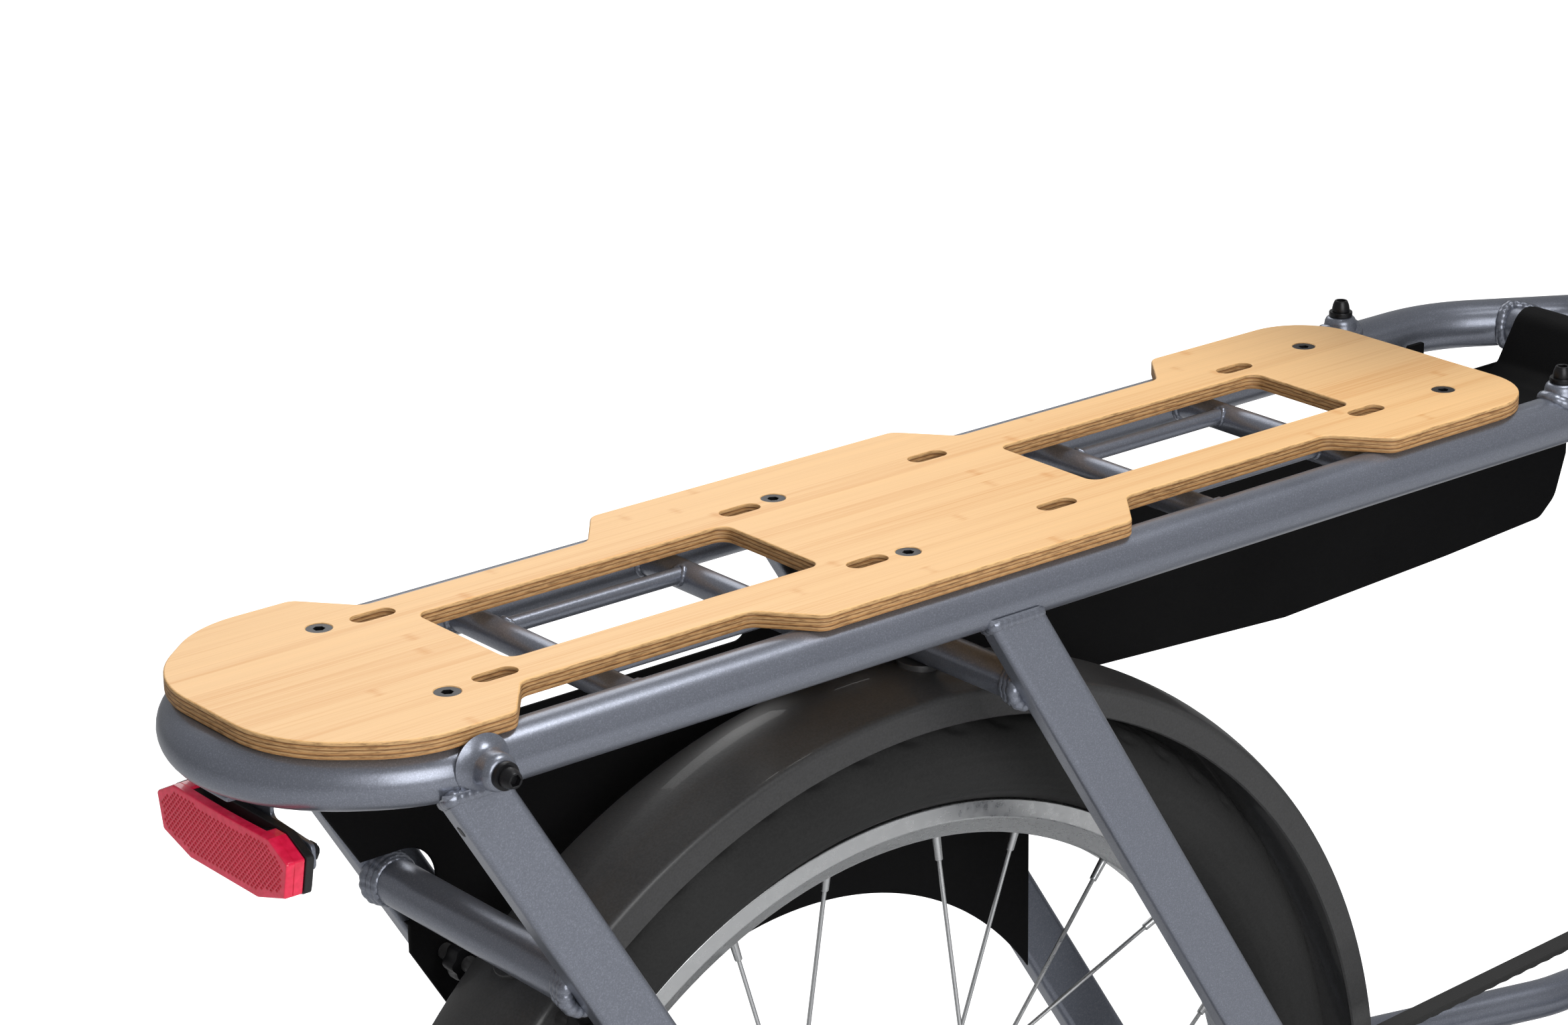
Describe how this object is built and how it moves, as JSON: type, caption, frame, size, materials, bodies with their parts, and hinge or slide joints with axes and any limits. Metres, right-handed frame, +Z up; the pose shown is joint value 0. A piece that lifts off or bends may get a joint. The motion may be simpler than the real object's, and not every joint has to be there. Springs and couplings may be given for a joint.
{
  "type": "electric cargo bicycle",
  "caption": "long-tail electric cargo bicycle: bamboo deck on a tube rack over the rear wheel, strut-braced tail, mid motor, down-tube battery, belt drive and centre stand",
  "frame": {"origin": "on the floor, below the middle of the bicycle's length and width", "axes": "+X forward, the way it is ridden; +Y to the rider's left; +Z up"},
  "size_m": [1.9528, 0.6816, 1.0635],
  "materials": {
    "frame": "satin slate blue-grey powder coat on tube and plate",
    "bamboo": "clear-coated bamboo plywood, fine lengthwise grain, ply layers on its edges",
    "black_steel": "black coated metal, satin",
    "black_plastic": "matt black moulded or sheet plastic",
    "red_lens": "clear red moulded prism lens",
    "fender": "satin dark grey moulded plastic",
    "tyre": "matt black rubber tread",
    "rubber": "matt black rubber",
    "alloy": "silver anodised aluminium",
    "saddle": "black padded saddle cover"
  },
  "bodies": {
    "frame": {"rack_loop": "frame", "rack_grid_rear": "frame", "rack_grid_front": "frame", "rear_strut_left": "frame", "rear_strut_right": "frame", "mid_strut_left": "frame", "mid_strut_right": "frame", "rear_bridge_tube": "frame", "mid_bridge_tube": "frame", "chainstay_left": "frame", "chainstay_right": "frame", "main_frame": "frame", "motor_unit": "black_plastic", "deck_board": "bamboo", "deck_bolt_1": "black_steel", "deck_bolt_2": "black_steel", "deck_bolt_3": "black_steel", "deck_bolt_4": "black_steel", "deck_bolt_5": "black_steel", "deck_bolt_6": "black_steel", "boss_bolt_1": "black_steel", "boss_bolt_2": "black_steel", "boss_bolt_3": "black_steel", "boss_bolt_4": "black_steel", "reflector_bracket": "frame", "reflector_housing": "black_plastic", "reflector_lens": "red_lens", "wheel_skirt": "black_plastic", "rear_fender": "fender", "spray_guard": "black_plastic", "rear_caliper": "black_steel", "drive_belt": "rubber", "seat_clamp": "black_steel"},
    "battery": {"battery": "black_plastic"},
    "saddle_post": {"seatpost": "alloy", "saddle": "saddle"},
    "rear_wheel_body": {"rear_tyre": "tyre", "rear_wheel": "alloy"},
    "sprocket": {"rear_sprocket": "black_steel"},
    "crank": {"crank_right": "black_steel", "crank_left": "black_steel"},
    "pedal_right": {"pedal_right": "black_plastic"},
    "pedal_left": {"pedal_left": "black_plastic"},
    "steering": {"fork": "frame", "front_fender": "fender", "stem": "black_steel", "handlebar": "black_steel", "grip_left": "rubber", "grip_right": "rubber", "brake_body_left": "black_steel", "brake_body_right": "black_steel", "headlight": "black_plastic", "display": "black_plastic", "front_caliper": "black_steel"},
    "front_wheel_body": {"front_tyre": "tyre", "front_wheel": "alloy"},
    "lever_left": {"lever_left": "alloy"},
    "lever_right": {"lever_right": "alloy"},
    "assist_button": {"assist_button": "black_plastic"},
    "centre_stand": {"centre_stand": "black_steel"}
  },
  "joints": [
    {"name": "rear_wheel_spin", "type": "hinge", "parent": "frame", "child": "rear_wheel_body", "pos_m": [-0.60265, 0, 0.304], "axis": [0, 1, 0], "continuous": true},
    {"name": "crank_spin", "type": "hinge", "parent": "frame", "child": "crank", "pos_m": [0.07535, 0, 0.29], "axis": [0, 1, 0], "continuous": true},
    {"name": "sprocket_spin", "type": "hinge", "parent": "frame", "child": "sprocket", "pos_m": [-0.60265, 0, 0.304], "axis": [0, 1, 0], "continuous": true},
    {"name": "pedal_right_spin", "type": "hinge", "parent": "crank", "child": "pedal_right", "pos_m": [-0.09465, -0.14, 0.29], "axis": [0, 1, 0], "continuous": true},
    {"name": "pedal_left_spin", "type": "hinge", "parent": "crank", "child": "pedal_left", "pos_m": [0.24535, 0.14, 0.29], "axis": [0, 1, 0], "continuous": true},
    {"name": "steering_turn", "type": "hinge", "parent": "frame", "child": "steering", "pos_m": [0.49278, 0, 0.66578], "axis": [-0.342, 0, 0.9397], "range_deg": [-50, 50]},
    {"name": "front_wheel_spin", "type": "hinge", "parent": "steering", "child": "front_wheel_body", "pos_m": [0.67235, 0, 0.304], "axis": [0, 1, 0], "continuous": true},
    {"name": "seatpost_slide", "type": "slide", "parent": "frame", "child": "saddle_post", "axis": [-0.2756, 0, 0.9613], "range_m": [0, 0.1]},
    {"name": "battery_slide", "type": "slide", "parent": "frame", "child": "battery", "axis": [0.6274, 0, 0.7787], "range_m": [0, 0.02]},
    {"name": "stand_fold", "type": "hinge", "parent": "frame", "child": "centre_stand", "pos_m": [-0.11765, 0, 0.181], "axis": [0, 1, 0], "range_deg": [0, 80]},
    {"name": "lever_left_squeeze", "type": "hinge", "parent": "steering", "child": "lever_left", "pos_m": [0.40599, 0.22023, 1.04553], "axis": [0, 0, 1], "range_deg": [0, 20], "stiffness_Nm_per_rad": 1, "springref_deg": -8.59},
    {"name": "lever_right_squeeze", "type": "hinge", "parent": "steering", "child": "lever_right", "pos_m": [0.40599, -0.22023, 1.04553], "axis": [0, 0, -1], "range_deg": [0, 20], "stiffness_Nm_per_rad": 1, "springref_deg": -8.59},
    {"name": "assist_button_press", "type": "slide", "parent": "steering", "child": "assist_button", "axis": [0, 0, -1], "range_m": [0, 0.0015], "stiffness_N_per_m": 600, "springref_m": -0.001}
  ],
  "couplings": [
    {"joint": "sprocket_spin", "follows": "crank_spin", "ratio": 2.0833}
  ]
}
